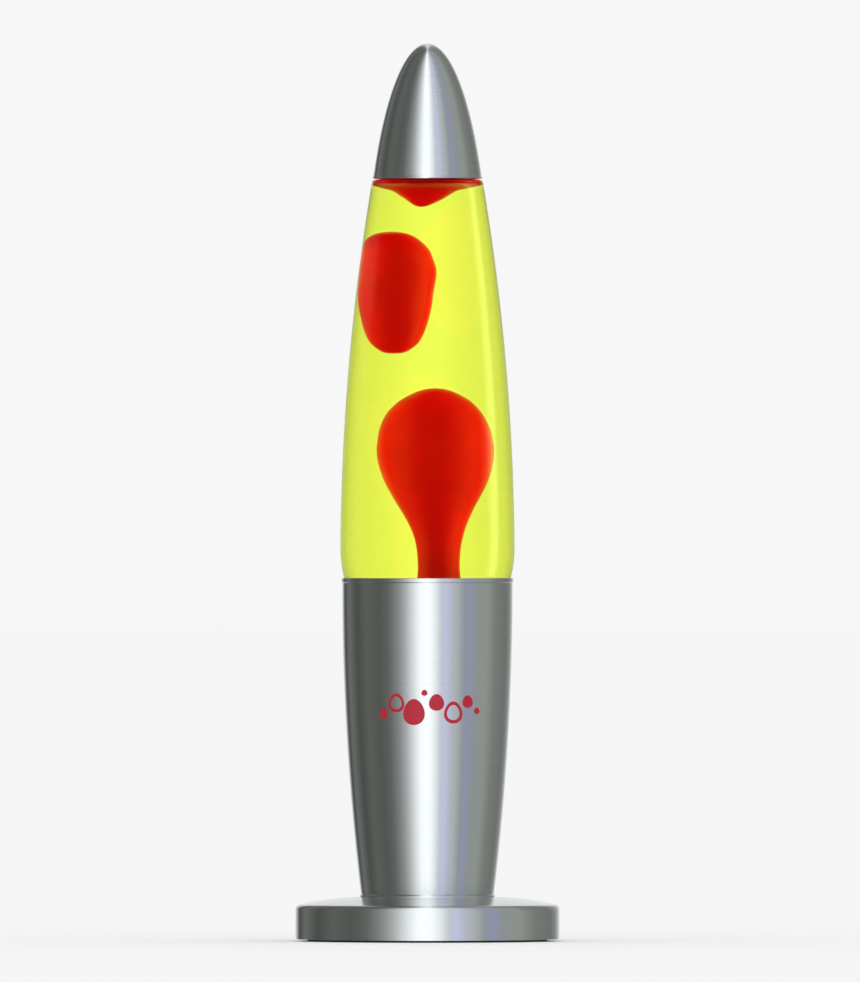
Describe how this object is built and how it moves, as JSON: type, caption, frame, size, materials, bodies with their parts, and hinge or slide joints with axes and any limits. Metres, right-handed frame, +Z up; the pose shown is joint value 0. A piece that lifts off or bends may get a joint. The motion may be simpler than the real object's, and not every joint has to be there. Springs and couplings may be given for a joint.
{
  "type": "rocket-style motion lamp",
  "caption": "Tall rocket-shaped motion lamp: spun aluminium base and nose cap round a glass bottle of yellow-green liquid with red wax shapes.",
  "frame": {"origin": "on the surface it stands on, under the centre of its round base", "axes": "+Z up along the lamp's axis, +Y towards the back, where the lead's inlet is, +X to the right"},
  "size_m": [0.1044, 0.1053, 0.355],
  "materials": {
    "spun_aluminium": "satin",
    "clear_glass": "gloss",
    "bulb_front": "satin",
    "yellow_liquid": "gloss",
    "red_wax": "gloss",
    "coil_steel": "satin",
    "crown_steel": "satin",
    "liner_plastic": "matte",
    "ballast_iron": "matte",
    "cover_plastic": "matte",
    "zinc_steel": "satin",
    "foot_rubber": "matte",
    "holder_plastic": "satin",
    "holder_ceramic": "satin",
    "contact_brass": "satin",
    "solder": "satin",
    "black_glass": "gloss",
    "filament_wire": "satin"
  },
  "bodies": {
    "base": {"body_shell": "spun_aluminium", "base_disc": "spun_aluminium", "ballast_weight": "ballast_iron", "base_cover": "cover_plastic", "cover_screws": "zinc_steel", "nipple_nut": "zinc_steel", "lock_washer": "zinc_steel", "holder_washer": "zinc_steel", "threaded_nipple": "zinc_steel", "rubber_feet": "foot_rubber", "cord_grommet": "foot_rubber", "holder_base_cap": "holder_plastic", "holder_sleeve": "holder_plastic", "holder_core": "holder_ceramic", "holder_screw_shell": "contact_brass", "holder_contact": "contact_brass", "terminal_screws": "contact_brass"},
    "bulb_lift": {"bulb_end_contact": "solder"},
    "bulb": {"bulb_screw_cap": "contact_brass", "bulb_insulator": "black_glass", "bulb_glass": "bulb_front", "bulb_stem": "clear_glass", "filament_leads": "filament_wire", "bulb_filament": "filament_wire"},
    "globe": {"globe_bottle": "clear_glass", "liquid": "yellow_liquid", "wax_column": "red_wax", "wax_top_pool": "red_wax", "wire_coil": "coil_steel", "crown_cap": "crown_steel", "crown_liner": "liner_plastic"},
    "blob": {"wax_blob": "red_wax"},
    "cap": {"top_cap": "spun_aluminium"}
  },
  "joints": [
    {"name": "globe_lift", "type": "slide", "parent": "base", "child": "globe", "axis": [0, 0, 1], "range_m": [0, 0.045]},
    {"name": "cap_lift", "type": "slide", "parent": "globe", "child": "cap", "axis": [0, 0, 1], "range_m": [0, 0.045]},
    {"name": "blob_drift", "type": "slide", "parent": "globe", "child": "blob", "axis": [0, 0, 1], "range_m": [-0.012, 0.005]},
    {"name": "bulb_rise", "type": "slide", "parent": "base", "child": "bulb_lift", "axis": [0, 0, 1], "range_m": [0, 0.0086]},
    {"name": "bulb_turn", "type": "hinge", "parent": "bulb_lift", "child": "bulb", "pos_m": [0, 0, 0.0346], "axis": [0, 0, 1], "range_deg": [0, 1080]}
  ],
  "couplings": [
    {"joint": "bulb_rise", "follows": "bulb_turn", "m_per_rad": 0.00044882}
  ]
}
